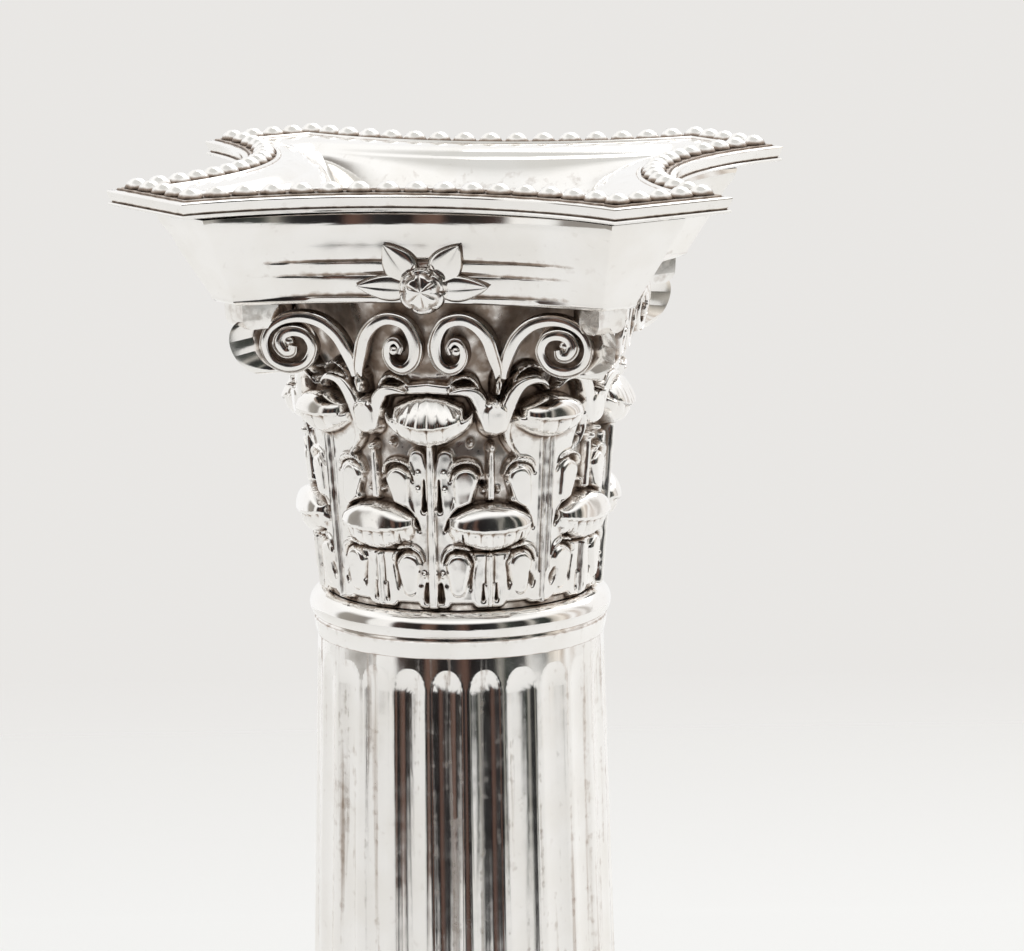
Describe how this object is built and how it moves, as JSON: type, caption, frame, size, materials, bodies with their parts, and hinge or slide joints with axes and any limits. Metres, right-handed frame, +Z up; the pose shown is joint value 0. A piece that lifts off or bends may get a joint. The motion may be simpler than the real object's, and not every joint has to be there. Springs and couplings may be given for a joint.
{
  "type": "column candlestick",
  "caption": "Silver column candlestick with a square stepped foot, fluted shaft, leaf capital and a lift-out nozzle with a concave-sided drip pan.",
  "frame": {"origin": "centre of the resting face on the table", "axes": "+Z up along the column, -Y towards the front face of the foot, +X to the right of the front"},
  "size_m": [0.127, 0.127, 0.305],
  "materials": {
    "silver": "polished silver with dark oxidised recesses",
    "cup_silver": "dull unpolished silver sheet",
    "rod_steel": "plain rolled steel",
    "pitch": "dark poured pitch and plaster",
    "board": "unfinished sawn wood",
    "baize": "napped green baize"
  },
  "bodies": {
    "stick": {"foot_shell": "silver", "foot_bead_wire": "silver", "step_bead_wire": "silver", "plinth_shell": "silver", "column_base": "silver", "column_shaft": "silver", "neck_ring": "silver", "abacus": "silver", "bell_panel_front": "silver", "bell_panel_right": "silver", "bell_panel_back": "silver", "bell_panel_left": "silver", "helix_pair_front": "silver", "helix_pair_right": "silver", "helix_pair_back": "silver", "helix_pair_left": "silver", "abacus_flower_front": "silver", "abacus_flower_right": "silver", "abacus_flower_back": "silver", "abacus_flower_left": "silver", "corner_volute_front_right": "silver", "corner_volute_back_right": "silver", "corner_volute_back_left": "silver", "corner_volute_front_left": "silver", "candle_cup": "cup_silver", "tie_rod": "rod_steel", "rod_washer": "rod_steel", "rod_foot_nut": "rod_steel", "rod_head_nut": "rod_steel", "foot_loading": "pitch", "shaft_loading": "pitch", "base_board": "board", "baize_pad": "baize"},
    "nozzle": {"nozzle_pan": "silver", "nozzle_bead_wire": "silver", "nozzle_socket": "cup_silver"}
  },
  "joints": [
    {"name": "nozzle_lift", "type": "slide", "parent": "stick", "child": "nozzle", "axis": [0, 0, 1], "range_m": [0, 0.045]}
  ]
}
